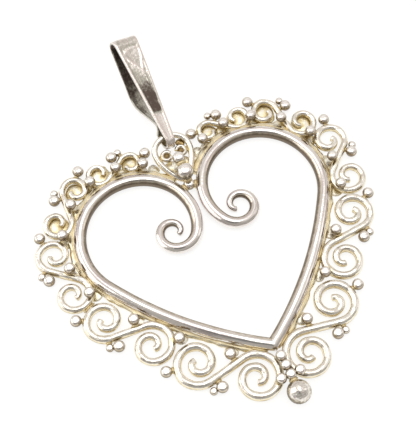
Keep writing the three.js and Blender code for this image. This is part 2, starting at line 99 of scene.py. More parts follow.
lobe_growth = (1 - lobe_opening) / (neck_heading - shoulder_heading)
widest_opening = lobe_opening + lobe_growth * (widest_heading - shoulder_heading)
neck_span = -arc_shift(neck_heading, closest_heading, neck_radius, 0)[0]
lobe_room = heart_width / 2 - heart_radius - neck_gap / 2 - neck_span
lobe_radius = lobe_room / -arc_shift(widest_heading, neck_heading, widest_opening, lobe_growth)[0]
shoulder_span = lobe_radius * arc_shift(shoulder_heading, widest_heading, lobe_opening, lobe_growth)[0]
side_radius = (heart_width / 2 - shoulder_span) / arc_shift(tip_heading, shoulder_heading, 1, 0)[0]
curl_growth = -(heart_radius + curl_end_radius + curl_gap) / math.tau
curl_radius = curl_eye_radius - curl_growth * (curl_end_heading - curl_heading)
heart_arcs = [
    (tip_heading, shoulder_heading, side_radius, 0),
    (shoulder_heading, neck_heading, lobe_radius * lobe_opening, lobe_radius * lobe_growth),
    (neck_heading, curl_heading, neck_radius, 0),
    (curl_heading, curl_end_heading, curl_radius, curl_growth),
]


def heart_line(heading):
    """Centreline of the heart's right half at a heading: the tip plus the shifts along all arcs up to there.
    Before the tip the first arc simply goes on."""
    point = np.zeros(np.shape(heading) + (2,)) + tip_point
    for number, (start, end, radius, growth) in enumerate(heart_arcs):
        first = -np.inf if number == 0 else start
        point = point + arc_shift(start, np.clip(heading, first, end), radius, growth)
    return point


def lengths_along(path):
    """Length of the path up to each of its points."""
    steps = np.linalg.norm(np.diff(path, axis=0), axis=1)
    return np.concatenate([[0], np.cumsum(steps)])


def waver(along, wave, random):
    """Unevenness left by hand work, between about -1 and 1: three sines of like wavelength, at random phases,
    added up by their shares."""
    waves = wave * np.array([1.0, 0.62, 0.37])
    shares = np.array([0.5, 0.3, 0.2])
    phases = random.uniform(0, math.tau, 3)
    return np.sin(along[:, None] * math.tau / waves + phases) @ shares


def unit(vectors):
    """Vectors brought to length one: each divided by its own length."""
    return vectors / np.linalg.norm(vectors, axis=-1, keepdims=True)


end_rows = 5
end_reach = 0.45


def blunt_ends(path, radius):
    """Path and radii with both ends closed: past each end the section shrinks along a squarish quarter round,
    which reaches out by a share of the radius."""
    turn = np.linspace(0, math.pi / 2, end_rows + 1)[1:]
    reach = end_reach * np.sqrt(np.sin(turn))[:, None]
    shrink = np.sqrt(np.cos(turn))
    head = path[0] + unit(path[0] - path[1]) * reach * radius[0]
    tail = path[-1] + unit(path[-1] - path[-2]) * reach * radius[-1]
    ends = (head[-1], tail[-1])
    path = np.concatenate([head[-2::-1], path, tail[:-1]])
    radius = np.concatenate([(radius[0] * shrink)[-2::-1], radius, (radius[-1] * shrink)[:-1]])
    return path, radius, ends


def wire_rings(path, radius, sides, loop=False, tall=1, squareness=1):
    """A section carried along a path: each ring is the path's point plus radius times (cosine of the turn
    sideways, sine of the turn upwards), taller than wide where tall is over 1, and nearer to a square where
    the power taken of sine and cosine is under 1. What would reach below the table is pressed flat on it.
    Also gives each point's place on the same wire pulled straight."""
    if loop:
        ahead = unit(np.roll(path, -1, axis=0) - np.roll(path, 1, axis=0))
    else:
        ahead = unit(np.gradient(path, axis=0))
    sideways = unit(np.cross(up, ahead))
    upwards = np.cross(ahead, sideways)
    turn = np.arange(sides) * math.tau / sides
    across = radius[:, None] * np.sign(np.cos(turn)) * np.abs(np.cos(turn)) ** squareness
    rise = radius[:, None] * np.sign(np.sin(turn)) * np.abs(np.sin(turn)) ** squareness * tall
    rings = path[:, None] + across[..., None] * sideways[:, None] + rise[..., None] * upwards[:, None]
    rings[..., 2] = np.maximum(rings[..., 2], 0)
    along = np.broadcast_to(lengths_along(path)[:, None], across.shape)
    return rings, np.stack([along, across, rise], axis=-1)


def skin(name, rings, straight, ends=None):
    """Mesh over rings of points: a quad between neighbours on neighbouring rings, the rings closed on
    themselves, and a fan of triangles to a point at each end, or the last ring joined to the first."""
    rows, sides = rings.shape[:2]
    number = np.arange(rows * sides).reshape(rows, sides)
    following = np.roll(number, -1, axis=1)
    if ends is None:
        here, there = number, np.roll(number, -1, axis=0)
        beside, beyond = following, np.roll(following, -1, axis=0)
    else:
        here, there = number[:-1], number[1:]
        beside, beyond = following[:-1], following[1:]
    faces = np.stack([here, beside, beyond, there], axis=-1).reshape(-1, 4).tolist()
    points = rings.reshape(-1, 3)
    straight = straight.reshape(-1, 3)
    if ends is not None:
        first = np.full(sides, rows * sides)
        faces += np.stack([first, following[0], number[0]], axis=-1).tolist()
        faces += np.stack([first + 1, number[-1], following[-1]], axis=-1).tolist()
        points = np.concatenate([points, ends])
        straight = np.concatenate([straight, straight[[0, -1]]])
    mesh = bpy.data.meshes.new(name)
    mesh.from_pydata((points * millimetre).tolist(), [], faces)
    mesh.shade_smooth()
    mesh.update()
    place_on_wire = mesh.attributes.new("straight", "FLOAT_VECTOR", "POINT")
    place_on_wire.data.foreach_set("vector", straight.astype(np.float32).ravel())
    piece = bpy.data.objects.new(name, mesh)
    bpy.context.scene.collection.objects.link(piece)
    return piece


def keep(piece, name, values):
    """Keeps one value on each point of a piece, for its material to read."""
    attribute = piece.data.attributes.new(name, "FLOAT", "POINT")
    attribute.data.foreach_set("value", np.asarray(values, np.float32))


def upward_facing(piece):
    """How far each point of a piece faces up: the height of its unit normal."""
    normals = np.zeros(len(piece.data.vertices) * 3, np.float32)
    piece.data.vertex_normals.foreach_get("vector", normals)
    return normals.reshape(-1, 3)[:, 2]


def put(tree, kind, inputs=None, **settings):
    """Adds a node with its settings and fills its inputs: a socket is linked, anything else is a fixed
    value."""
    node = tree.nodes.new(kind)
    for key, value in settings.items():
        setattr(node, key, value)
    for key, value in (inputs or {}).items():
        if isinstance(value, bpy.types.NodeSocket):
            tree.links.new(value, node.inputs[key])
        else:
            node.inputs[key].default_value = value
    return node


def mixed(tree, mask, first, second):
    """Colour between two others, by a mask."""
    return put(tree, "ShaderNodeMix", {0: mask, 6: first, 7: second}, data_type="RGBA").outputs[2]


def worked(tree, operation, first, second):
    """One arithmetic step on two values."""
    return put(tree, "ShaderNodeMath", {0: first, 1: second}, operation=operation).outputs[0]


def faded(tree, value, start, end):
    """0 to 1 as a value goes from start to end, eased at both ends."""
    inputs = {"Value": value, "From Min": start, "From Max": end}
    return put(tree, "ShaderNodeMapRange", inputs, interpolation_type="SMOOTHSTEP").outputs[0]


def below(tree, value, middle, margin):
    """0 to 1 as a value falls from a margin above the middle to a margin below it."""
    return faded(tree, value, worked(tree, "ADD", middle, margin), worked(tree, "SUBTRACT", middle, margin))


def clouds(tree, place, fineness):
    """Cloudy values about a half."""
    return put(tree, "ShaderNodeTexNoise", {"Vector": place, **fineness}).outputs[0]


def swing(tree, cloudy, amount):
    """Cloudy values brought to swing about zero: their distance from a half, times an amount."""
    return worked(tree, "MULTIPLY", worked(tree, "SUBTRACT", cloudy, 0.5), amount)


blotch_fineness = {"Scale": 1100.0, "Detail": 3.0}
pit_fineness = {"Scale": 3400.0, "Detail": 2.0}
line_fineness = {"Scale": 4.5, "Detail": 4.0}
band_fineness = {"Scale": 2.6, "Detail": 2.0}
squeeze_along_wire = (0.04, 1, 1)
band_limits = (0.46, 0.62)
line_limits = (0.5, 0.6)
# Margins of the flank and seam masks, whose wash and tarnish colours are painted shade as well as tarnish.
wash_margin = 0.3
shade_and_tarnish_margin = 0.25
seam_wash_limits = (0.1, 0.6)
seam_shade_and_tarnish_limits = (0.35, 0.95)
seam_shade_and_tarnish_strength = 0.85
tarnish_roughness = 0.22
line_roughness = 0.12
blotch_relief = 0.6
usual_strengths = {"Blotches": 0.5, "Pits": 0.3, "Bands": 0.6, "Lines": 0.3}


def silver_wear_and_shade_group():
    """Shared effect: bright metal with duller bands and fine lines along the wire, a wash of yellow where
    rubbing doesn't reach and round the seams, brown on the flanks and in the seams, blotches about a millimetre
    wide and pits about a third of that. The wash and the brown on the flanks and in the seams are painted shade
    as well as tarnish."""
    tree = bpy.data.node_groups.new("silver_wear_and_shade", "ShaderNodeTree")
    sockets = tree.interface
    for name in ("Bright", "Band", "Wash", "Tarnish"):
        sockets.new_socket(name, in_out="INPUT", socket_type="NodeSocketColor")
    for name in ("Wash level", "Tarnish level", "Roughness"):
        sockets.new_socket(name, in_out="INPUT", socket_type="NodeSocketFloat")
    for name, strength in usual_strengths.items():
        sockets.new_socket(name, in_out="INPUT", socket_type="NodeSocketFloat").default_value = strength
    sockets.new_socket("Color", in_out="OUTPUT", socket_type="NodeSocketColor")
    for name in ("Roughness", "Height"):
        sockets.new_socket(name, in_out="OUTPUT", socket_type="NodeSocketFloat")
    given = put(tree, "NodeGroupInput").outputs
    place = put(tree, "ShaderNodeTexCoord").outputs["Object"]
    wear_and_light = put(tree, "ShaderNodeAttribute", attribute_name="wear_and_light").outputs["Fac"]
    seam = put(tree, "ShaderNodeAttribute", attribute_name="seam").outputs["Fac"]
    straight = put(tree, "ShaderNodeAttribute", attribute_name="straight").outputs["Vector"]
    squeeze = put(tree, "ShaderNodeVectorMath", {0: straight, 1: squeeze_along_wire}, operation="MULTIPLY")
    blotch = clouds(tree, place, blotch_fineness)
    lines = clouds(tree, squeeze.outputs[0], line_fineness)
    bands = clouds(tree, squeeze.outputs[0], band_fineness)
    pitted = swing(tree, clouds(tree, place, pit_fineness), given["Pits"])
    uneven = worked(tree, "ADD", swing(tree, blotch, given["Blotches"]), pitted)
    rubbed_and_lit = worked(tree, "ADD", wear_and_light, uneven)
    in_seam = worked(tree, "SUBTRACT", seam, uneven)
    # Painted shade: below the wash and tarnish levels the flanks take the wash and tarnish colours, which stand
    # for the shade there as well as for tarnish.
    unrubbed_and_shaded = below(tree, rubbed_and_lit, given["Wash level"], wash_margin)
    wash = worked(tree, "MAXIMUM", unrubbed_and_shaded, faded(tree, in_seam, *seam_wash_limits))
    flank = below(tree, rubbed_and_lit, given["Tarnish level"], shade_and_tarnish_margin)
    shade_and_tarnish_in_seam = worked(tree, "MULTIPLY", faded(tree, in_seam, *seam_shade_and_tarnish_limits), seam_shade_and_tarnish_strength)
    tarnish = worked(tree, "MAXIMUM", flank, shade_and_tarnish_in_seam)
    banded = worked(tree, "MULTIPLY", faded(tree, bands, *band_limits), given["Bands"])
    lined = worked(tree, "MULTIPLY", faded(tree, lines, *line_limits), given["Lines"])
    silver = mixed(tree, worked(tree, "MAXIMUM", banded, lined), given["Bright"], given["Band"])
    silver = mixed(tree, wash, silver, given["Wash"])
    silver = mixed(tree, tarnish, silver, given["Tarnish"])
    rough = worked(tree, "ADD", given["Roughness"], worked(tree, "MULTIPLY", tarnish, tarnish_roughness))
    rough = worked(tree, "ADD", rough, swing(tree, lines, line_roughness))
    height = worked(tree, "ADD", lines, worked(tree, "MULTIPLY", blotch, blotch_relief))
    height = worked(tree, "ADD", height, pitted)
    put(tree, "NodeGroupOutput", {"Color": silver, "Roughness": rough, "Height": height})
    return tree


silver_wear_and_shade = silver_wear_and_shade_group()
relief_depth = 0.05 * millimetre


def silver_material(name, unevenness, **looks):
    """Metal whose colour, painted shade included, roughness and fine relief come from the shared silver effect
    with its own values.
    """
    material = bpy.data.materials.new(name)
    material.use_nodes = True
    tree = material.node_tree
    tree.nodes.clear()
    effect = put(tree, "ShaderNodeGroup", node_tree=silver_wear_and_shade)
    for key, value in looks.items():
        effect.inputs[key.replace("_", " ").capitalize()].default_value = value
    bump_inputs = {"Height": effect.outputs["Height"], "Strength": unevenness, "Distance": relief_depth}
    bump = put(tree, "ShaderNodeBump", bump_inputs)
    surface = {
        "Base Color": effect.outputs["Color"],
        "Roughness": effect.outputs["Roughness"],
        "Metallic": 1.0,
        "Normal": bump.outputs[0],
    }
    shader = put(tree, "ShaderNodeBsdfPrincipled", surface)
    put(tree, "ShaderNodeOutputMaterial", {"Surface": shader.outputs[0]})
    return material


# Its tarnish colour on the flanks, the inside of the heart and the seams is painted shade as well as tarnish.
heart_silver = silver_material(
    "heart_silver",
    unevenness=0.45,
    bright=(0.93, 0.9, 0.86, 1),
    band=(0.64, 0.56, 0.55, 1),
    wash=(0.76, 0.67, 0.53, 1),
    tarnish=(0.2, 0.16, 0.12, 1),
    wash_level=0.5,
    tarnish_level=0.25,
    roughness=0.13,
    bands=0.5,
    lines=0.85,
)

# Wires and beads as strings of balls, each a row of centre and radius, for the solder and the seams.
strings_of_balls = {}
# Every piece that is in place, with the solids that it stands for.
settled = []


def settle(piece, material, slot, body, *nodes):
    """Gives a piece its material, the body that it moves with and the solids that it stands for. Its record slot
    is not used."""
    settled.append((piece, nodes))
    piece.data.materials.append(material)
    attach(piece, body)
    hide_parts(*nodes)


def axis_height(radius, solid_sides):
    """Height of a wire's axis when its solid lies on one of its flats: radius times the cosine of half the
    angle between two sides."""
    return radius * math.cos(math.pi / solid_sides)


def heart_wire():
    """The right half's rings, cut square at the middle plane so that both halves meet in a mitre, and their
    mirror image. Rubbing brightens the top and the outside of the heart; the inside is darker, which is
    tarnish and painted shade together."""
    random = np.random.default_rng(1)
    headings = []
    for start, end, radius, growth in heart_arcs:
        stations = 1 + math.ceil((end - start) * radius / heart_station)
        headings.append(np.linspace(start, end, stations, endpoint=False))
    heading = np.append(np.concatenate(headings), curl_end_heading)
    plane = heart_line(heading)
    drawn_out = np.clip((heading - curl_heading) / (curl_end_heading - curl_heading), 0, 1)
    radius = heart_radius + (curl_end_radius - heart_radius) * drawn_out
    radius = radius * (1 + heart_unevenness * (waver(lengths_along(plane), heart_wave, random) - 1))
    path = np.column_stack([plane, axis_height(radius, heart_solid_sides)])
    right_half = np.column_stack([path, radius])
    left_half = np.column_stack([path * mirrored, radius])
    strings_of_balls["heart_wire"] = np.concatenate([right_half, left_half])
    path, radius, ends = blunt_ends(path[::-1], radius[::-1])
    tip_rows = end_rows - 1
    path, radius = path[:-tip_rows][::-1], radius[:-tip_rows][::-1]
    rings, straight = wire_rings(path, radius, heart_sides)
    tip_direction = np.array([math.cos(tip_heading), math.sin(tip_heading), 0])
    past = np.minimum(rings[..., :1], 0)
    past[0] = rings[0, :, :1]
    rings = rings - past / tip_direction[0] * tip_direction
    both_halves = np.concatenate([rings[:0:-1] * mirrored, rings])
    straight = np.concatenate([straight[:0:-1] * mirrored, straight])
    curl_point = ends[0]
    piece = skin("heart_wire_silver", both_halves, straight, (curl_point * mirrored, curl_point))
    inwards = np.append(straight[..., 1].ravel(), [0, 0]) / heart_radius
    strength = np.where(inwards > 0, inside_shade_and_tarnish, outside_polish)
    keep(piece, "wear_and_light", upward_facing(piece) - strength * inwards)
    return piece


settle(heart_wire(), heart_silver, "bright_silver", "pendant", "heart_wire")


# Balls in the cleft: silver grains melted round on charcoal. One is wedged between the necks of the heart,
# a large one covers the loop's foot and a smaller one sits next to it. All are held by solder.

bead_rub = 0.76
rub_depth = 0.85
lump_waves = 4
lump_pitch = 1.6
lump_phase = 6


def solid_box(node):
    """Lowest and highest corner of a solid's box."""
    return [np.array(corner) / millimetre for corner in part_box(node)]


def bead_rings(ball, random, unevenness=0.02, rows=16, sides=26, rubbed=1):
    """Rings of latitude round a ball, from its foot to its top: radius times (cosine of the latitude round
    the axis, sine of it along the axis), made a little lumpy by a few low waves over the sphere. Above the
    rubbed share of the radius the top is pressed nearly flat."""
    latitude = np.linspace(-math.pi / 2, math.pi / 2, rows + 2)[1:-1, None]
    turn = np.arange(sides) * math.tau / sides
    directions = np.stack([
        np.cos(latitude) * np.cos(turn),
        np.cos(latitude) * np.sin(turn),
        np.sin(latitude) * np.ones_like(turn),
    ], axis=-1)
    axes = lump_pitch * random.normal(size=(3, lump_waves))
    phases = random.uniform(0, lump_phase, lump_waves)
    lumps = np.sin(directions @ axes + phases).mean(axis=-1) - 1
    round_points = directions * (ball[3] * (1 + unevenness * lumps))[..., None]
    ends = np.outer([-1, 1], up) * ball[3] * (1 - unevenness)
    for points in (round_points, ends):
        points[..., 2] -= rub_depth * np.maximum(points[..., 2] - rubbed * ball[3], 0)
    return ball[:3] + round_points, round_points, ball[:3] + ends


def rub_top_shade_sides(piece):
    """Rubs a piece from above and paints shade on its flanks: each point keeps how far it faces up, 1 where it
    faces up, rubbed bright, and 0 on its flanks, which keep their tarnish and take painted shade."""
    keep(piece, "wear_and_light", upward_facing(piece))


def grain(name, ball, random, rubbed):
    """One round grain, rubbed on its top and painted darker on its flanks as shade."""
    piece = skin(name, *bead_rings(ball, random, rubbed=rubbed))
    rub_top_shade_sides(piece)
    return piece


def bead(node, material, slot, random, rubbed=bead_rub):
    """One round grain in the place of its solid, whose box gives the ball's centre and radius."""
    low, high = solid_box(node)
    ball = np.append((low + high) / 2, (high[2] - low[2]) / 2)
    strings_of_balls[node] = ball[None]
    settle(grain(node + "_silver", ball, random, rubbed), material, slot, "pendant", node)


# The tarnish colour on the lower half of each ball paints its shade and dark reflection there, as well as tarnish.
ball_silver = silver_material(
    "ball_silver",
    unevenness=0.4,
    bright=(0.95, 0.92, 0.88, 1),
    band=(0.66, 0.57, 0.54, 1),
    wash=(0.58, 0.5, 0.36, 1),
    tarnish=(0.28, 0.235, 0.165, 1),
    wash_level=0.5,
    tarnish_level=0.3,
    roughness=0.08,
    blotches=0.6,
    pits=0.5,
    lines=0.4,
)
ball_random = np.random.default_rng(2)
for ball_node in ("neck_ball", "cleft_ball", "loop_ball"):
    bead(ball_node, ball_silver, "bright_silver", ball_random)


# Loop: an egg-shaped ring of round wire that stands in the cleft and rises to its top, where the bail hangs.
# Two short curls of thin wire are soldered inside it. All three keep a pale gold wash, as the scrolls do.

hinge = np.array(frame["joints"][0]["pos_m"]) / millimetre
loop_width = 5.3
loop_height = 5.2
loop_pinch = 0.55
loop_radius = 0.35
loop_slimness = 0.985
loop_steps = 140
loop_sides = 20
loop_solid_sides = 8
loop_foot_height = axis_height(loop_radius, loop_solid_sides)
loop_foot = hinge[1] - loop_height

# Its wash and tarnish colours on the flanks and in the seams are painted shade as well as gilt and tarnish.
gilt_silver = silver_material(
    "gilt_silver",
    unevenness=0.65,
    bright=(0.97, 0.94, 0.87, 1),
    band=(0.62, 0.54, 0.45, 1),
    wash=(0.91, 0.81, 0.56, 1),
    tarnish=(0.5, 0.39, 0.2, 1),
    wash_level=0.5,
    tarnish_level=0.05,
    roughness=0.2,
    blotches=0.85,
    pits=0.6,
    bands=0.45,
    lines=0.5,
)


def loop_wire():
    """Ring whose half width is pinched in towards its foot, and which rises with the cosine of its turn."""
    turn = np.linspace(0, -math.tau, loop_steps, endpoint=False)
    lowness = (1 - np.cos(turn)) / 2
    x = loop_width / 2 * np.sin(turn) * (1 - loop_pinch * lowness)
    y = loop_foot + loop_height * (1 - lowness)
    z = hinge[2] + (loop_foot_height - hinge[2]) * lowness
    path = np.column_stack([x, y, z])
    radius = np.full(len(path), loop_radius * loop_slimness)
    strings_of_balls["bail_loop"] = np.column_stack([path, radius])
    piece = skin("bail_loop_silver", *wire_rings(path, radius, loop_sides, loop=True))
    rub_top_shade_sides(piece)
    return piece


settle(loop_wire(), gilt_silver, "gilt_silver", "pendant", "bail_loop")

loop_curl_radius = 0.525
loop_curl_wire_radius = 0.225
loop_curl_start = math.radians(150)
loop_curl_turn = math.radians(290)
loop_curl_steps = 48
loop_curl_sides = 16


def circle(angle):
    """Points of a circle of radius one: cosine and sine of each angle."""
    return np.column_stack([np.cos(angle), np.sin(angle)])


def lifted(points, height):
    """Points of the pendant's plane, lifted to one height."""
    return np.column_stack([points, np.full(len(points), height)])


def open_wire(name, path, radius, sides, **section):
    """A wire with two blunt ends, rubbed on its top and painted darker on its flanks as shade."""
    path, radius, ends = blunt_ends(path, radius)
    rings, straight = wire_rings(path, radius, sides, **section)
    piece = skin(name, rings, straight, ends)
    rub_top_shade_sides(piece)
    return piece


def gilt_wire(node, path, radius, sides, **section):
    """A gilt wire with two blunt ends in the place of its solid."""
    strings_of_balls[node] = np.column_stack([path, radius])
    piece = open_wire(node + "_silver", path, radius, sides, **section)
    settle(piece, gilt_silver, "gilt_silver", "pendant", node)


def loop_curl(side, mirror):
    """Arc of thin wire in the place of its solid, opening towards the middle of the loop."""
    low, high = solid_box("loop_curl_right")
    centre = np.array([high[0] - loop_curl_radius - loop_curl_wire_radius, (low[1] + high[1]) / 2])
    angle = np.linspace(loop_curl_start, loop_curl_start - loop_curl_turn, loop_curl_steps)
    path = lifted(centre + loop_curl_radius * circle(angle), (low[2] + high[2]) / 2) * [mirror, 1, 1]
    radius = np.full(len(path), loop_curl_wire_radius)
    gilt_wire("loop_curl_" + side, path, radius, loop_curl_sides)


halves = {"right": 1, "left": -1}
for side, mirror in halves.items():
    loop_curl(side, mirror)


# Border scrolls: each is one length of thinner wire, hammered squarish and taller than wide, with a spiral
# turned in at both ends, five on each side, larger and heavier towards the tip. They are soldered to the
# heart wire and to each other.

scroll_count = 5
spiral_count = 2 * scroll_count
smallest_spiral = 1.55
first_scroll_wire = 0.68
last_scroll_wire = 0.95
scroll_tallness = 1.15
scroll_squareness = 0.85
scroll_sides = 24
scroll_wave = 2.6
scroll_unevenness = 0.05
end_thinning = 0.18
thinned_length = 1.2
crossing_reach = 0.45
crossing_points = 16
spiral_eye = 0.5
spiral_gap = 0.25
points_per_turn = 70
round_part = 0.22
meeting_turn = 0.34
tip_spiral_gap = 0.1
loop_side_room = 0.4
solder_gap = 0.04
halvings = 50


def scroll_wire(number):
    """Wire diameter of a scroll, counted from the bail."""
    return first_scroll_wire + (last_scroll_wire - first_scroll_wire) * number / (scroll_count - 1)


def spiral_pitch(number):
    """How much a scroll's spirals draw in for each turn once they have left their round part."""
    return (scroll_wire(number) + spiral_gap) / (1 - round_part)


def crossing(low, high, value):
    """Where a rising function crosses zero, by halving."""
    for _ in range(halvings):
        half = (low + high) / 2
        if value(half) < 0:
            low = half
        else:
            high = half
    return (low + high) / 2


def spiral_at(heading, radius):
    """A spiral against the outside of the heart wire: heading there, radius, centre."""
    outward = np.array([math.sin(heading), -math.cos(heading)])
    return heading, radius, heart_line(heading) + outward * (heart_radius + radius + solder_gap)


def spiral_chain(largest):
    """Spirals from the bail to the tip, each a fixed distance from the one before it along the heart. The
    heading falls on the way, so its negative is what rises."""
    radii = np.linspace(smallest_spiral, largest, spiral_count)
    first_across = loop_width / 2 + loop_radius + loop_side_room + radii[0]
    back = crossing(-neck_heading, -widest_heading, lambda turned: (
        spiral_at(-turned, radii[0])[2][0] - first_across))
    chain = [spiral_at(-back, radii[0])]
    for index in range(1, spiral_count):
        heading, radius, centre = chain[-1]
        number = index // 2
        nest = (spiral_pitch(number - 1) + spiral_pitch(number)) * (meeting_turn - round_part)
        reach = crossing_reach if index % 2 else solder_gap - nest
        spacing = radius + radii[index] + reach
        back = crossing(-heading, widest_heading - tip_heading, lambda turned: (
            np.linalg.norm(spiral_at(-turned, radii[index])[2] - centre) - spacing))
        chain.append(spiral_at(-back, radii[index]))
    return chain


def overshoot(largest):
    """How far the last spiral of a chain reaches over the middle plane."""
    heading, radius, centre = spiral_chain(largest)[-1]
    return radius + tip_spiral_gap / 2 - centre[0]


spirals = spiral_chain(crossing(smallest_spiral, heart_width / 4, overshoot))


def spiral_path(spiral, number, start_angle):
    """Spiral from its outside to its eye: the radius is kept for the round part and then falls with the
    turn."""
    heading, radius, centre = spiral
    outer = radius - scroll_wire(number) / 2
    turns = round_part + (outer - spiral_eye) / spiral_pitch(number)
    turn = np.linspace(0, turns, int(turns * points_per_turn))
    drawn = outer - spiral_pitch(number) * np.maximum(turn - round_part, 0)
    return centre + drawn[:, None] * circle(start_angle + math.tau * turn)


def scroll_plane(number):
    """Centreline of a scroll: out of one spiral, straight across and into the other."""
    first, second = spirals[2 * number], spirals[2 * number + 1]
    apart = second[2] - first[2]
    touching = first[1] + second[1] - scroll_wire(number)
    start_angle = math.atan2(apart[1], apart[0]) + math.acos(touching / np.linalg.norm(apart))
    into = spiral_path(first, number, start_angle)[::-1]
    onward = spiral_path(second, number, start_angle + math.pi)
    share = np.linspace(0, 1, crossing_points)[1:-1, None]
    return np.concatenate([into, into[-1] + (onward[0] - into[-1]) * share, onward])


def border_scroll(side, mirror, number, random):
    """One scroll in the place of its solid, a little uneven in thickness and thinner at its two ends, where
    an exponential of the length to the end is taken off."""
    plane = scroll_plane(number) * [mirror, 1]
    along = lengths_along(plane)
    to_end = np.minimum(along, along[-1] - along)
    radius = scroll_wire(number) / 2 * (1 + scroll_unevenness * (waver(along, scroll_wave, random) - 1))
    radius = radius * (1 - end_thinning * np.exp(-to_end / thinned_length))
    path = np.column_stack([plane, radius * scroll_tallness])
    section = {"tall": scroll_tallness, "squareness": scroll_squareness}
    gilt_wire("scroll_%s_%d" % (side, number + 1), path, radius, scroll_sides, **section)


scroll_random = np.random.default_rng(3)
for number in range(scroll_count):
    for side, mirror in halves.items():
        border_scroll(side, mirror, number, scroll_random)


# Beads under the heart's point: a short row with one more on each side at its foot, and the large ball at the
# very tip. The beads are run together by the heat of soldering, so they are one lump.

tip_bead_radius = 0.6
foot_tolerance = 0.005


def corners_of(mesh):
    """Corners of a mesh, one row each."""
    corners = np.zeros(len(mesh.vertices) * 3)
    mesh.vertices.foreach_get("co", corners)
    return corners.reshape(-1, 3) / millimetre


def feet_among(corners):
    """Those corners that a solid stands on."""
    return corners[corners[:, 2] < corners[:, 2].min() + foot_tolerance]


def balls_in(node, radius):
    """Balls of one size that are run together in one solid: their centres stand over its lowest points."""
    feet = feet_among(corners_of(frame["nodes"][node].data))
    centres = lifted(np.unique(feet.round(2), axis=0)[:, :2], feet[:, 2].min() + radius)
    return np.column_stack([centres, np.full(len(centres), radius)])


def joined(parts):
    """Several meshes made one, under the name of the first."""
    with bpy.context.temp_override(active_object=parts[0], selected_editable_objects=parts):
        bpy.ops.object.join()
    return parts[0]


def lump(node, balls, material, slot, random):
    """Several grains joined in one mesh, each a closed skin that sinks a little into the next."""
    strings_of_balls[node] = balls
    grains = [grain(node + "_silver", ball, random, bead_rub) for ball in balls]
    settle(joined(grains), material, slot, "pendant", node)


# On the tip ball the tarnish colour below its middle paints shade as well as tarnish.
scuffed_silver = silver_material(
    "scuffed_silver",
    unevenness=1.0,
    bright=(0.96, 0.93, 0.88, 1),
    band=(0.62, 0.55, 0.5, 1),
    wash=(0.56, 0.5, 0.4, 1),
    tarnish=(0.22, 0.18, 0.13, 1),
    wash_level=0.45,
    tarnish_level=0.25,
    roughness=0.13,
    blotches=1.0,
    pits=1.0,
    lines=0.4,
)
tip_random = np.random.default_rng(4)
lump("tip_beads", balls_in("tip_beads", tip_bead_radius), ball_silver, "bright_silver", tip_random)
bead("tip_ball", scuffed_silver, "bright_silver", tip_random, rubbed=1)


# Beads of the border: one in every notch beside the heart wire, and outside the notches by turns a single
# bead and a pair of a large and a small one. They are small grains, soldered to the wires next to them.

# The tarnish colour on the lower half of each bead paints its shade and dark reflection there, as well as tarnish.
bead_silver = silver_material(
    "bead_silver",
    unevenness=0.5,
    bright=(0.94, 0.91, 0.87, 1),
    band=(0.6, 0.51, 0.49, 1),
    wash=(0.58, 0.49, 0.34, 1),
    tarnish=(0.28, 0.225, 0.165, 1),
    wash_level=0.6,
    tarnish_level=0.36,
    roughness=0.07,
    blotches=0.7,
    lines=0.5,
)
large_radius = 0.65
small_radius = 0.44


def pair_balls(node):
    """A large and a small ball run together: the solid's highest point is over the large one, and its foot
    that is farthest from there is under the small one."""
    corners = corners_of(frame["nodes"][node].data)
    feet = feet_among(corners)
    lowest = feet[:, 2].min()
    top = corners[corners[:, 2].argmax()]
    small = feet[np.linalg.norm(feet[:, :2] - top[:2], axis=1).argmax()]
    return np.array([
        [top[0], top[1], lowest + large_radius, large_radius],
        [small[0], small[1], lowest + small_radius, small_radius],
    ])


bead_random = np.random.default_rng(5)
for side in halves:
    for notch in range(spiral_count):
        bead("inner_bead_%s_%d" % (side, notch), bead_silver, "gilt_silver", bead_random)
        if notch % 2:
            pair_node = "bead_pair_%s_%d" % (side, notch)
            lump(pair_node, pair_balls(pair_node), bead_silver, "gilt_silver", bead_random)
        else:
            bead("outer_bead_%s_%d" % (side, notch), bead_silver, "gilt_silver", bead_random)


# Bail: one tapered silver strip folded over at the top, pinched together above the loop's top wire and
# joined under it, so that it hangs loose. Its front has raised rims, a shield drawn by a ridge, and under
# it a sunk, pitted panel.

bail_length = 12.6
bail_top_width = 3.0
bail_tail_width = 1.0
bail_depth = 3.9
bail_belly_share = 0.42
bail_shoulder_share = 0.8
bail_pinch_share = 0.13
bail_pinch_gap = 0.12
bail_tail_reach = 0.45
bail_thickness = 0.45
bail_fold_radius = 0.9
bail_eye_clearance = 0.13
bail_roll = math.radians(12)
bail_station = 0.09
half_round_steps = 60
back_steps = 40
strip_thickness = 0.4
strip_corner = 0.11
face_points = 33
corner_points = 9
front_tolerance = 0.02
face_tolerance = 0.001

rim_height = 0.05
rim_width = 0.38
rim_slope = 0.12
rim_top = 0.08
shield_top = 10.9
shield_arch = 0.3
shield_foot = 7.9
shield_lean = 0.45
shield_left_slope = -1.5
shield_right_slope = 3.0
shield_edge = 0.2
ridge_width = 0.17
panel_depth = 0.12
panel_start = 0.1
panel_slope = 0.7
panel_foot = 2.4
smooth_fold = 0.6

strip_wear = 0.47
fold_wear = 0.16
tail_wear = 0.4
shield_wear = 0.12
# Painted shade on the panel, fuller towards its lower end, and on the inside of the bail, fuller towards the fold.
panel_shade_strength = 0.8
panel_shade_from = shield_foot + 0.5
panel_shade_until = panel_foot + 2.6
tail_start = panel_foot + 0.7
tail_full = panel_foot - 0.3
fold_half = 0.4
inside_wear = 0.2
bail_inside_shade = 0.4
inside_limits = (4.5, 7.5)

bail_eye_radius = loop_radius + bail_eye_clearance + bail_tail_width / 2 * math.sin(bail_roll)
strip_middle = bail_eye_radius + bail_thickness / 2
fold_centre = bail_length - bail_fold_radius - bail_thickness / 2
fold_out = strip_middle - bail_fold_radius
bow_depth = bail_depth - bail_thickness


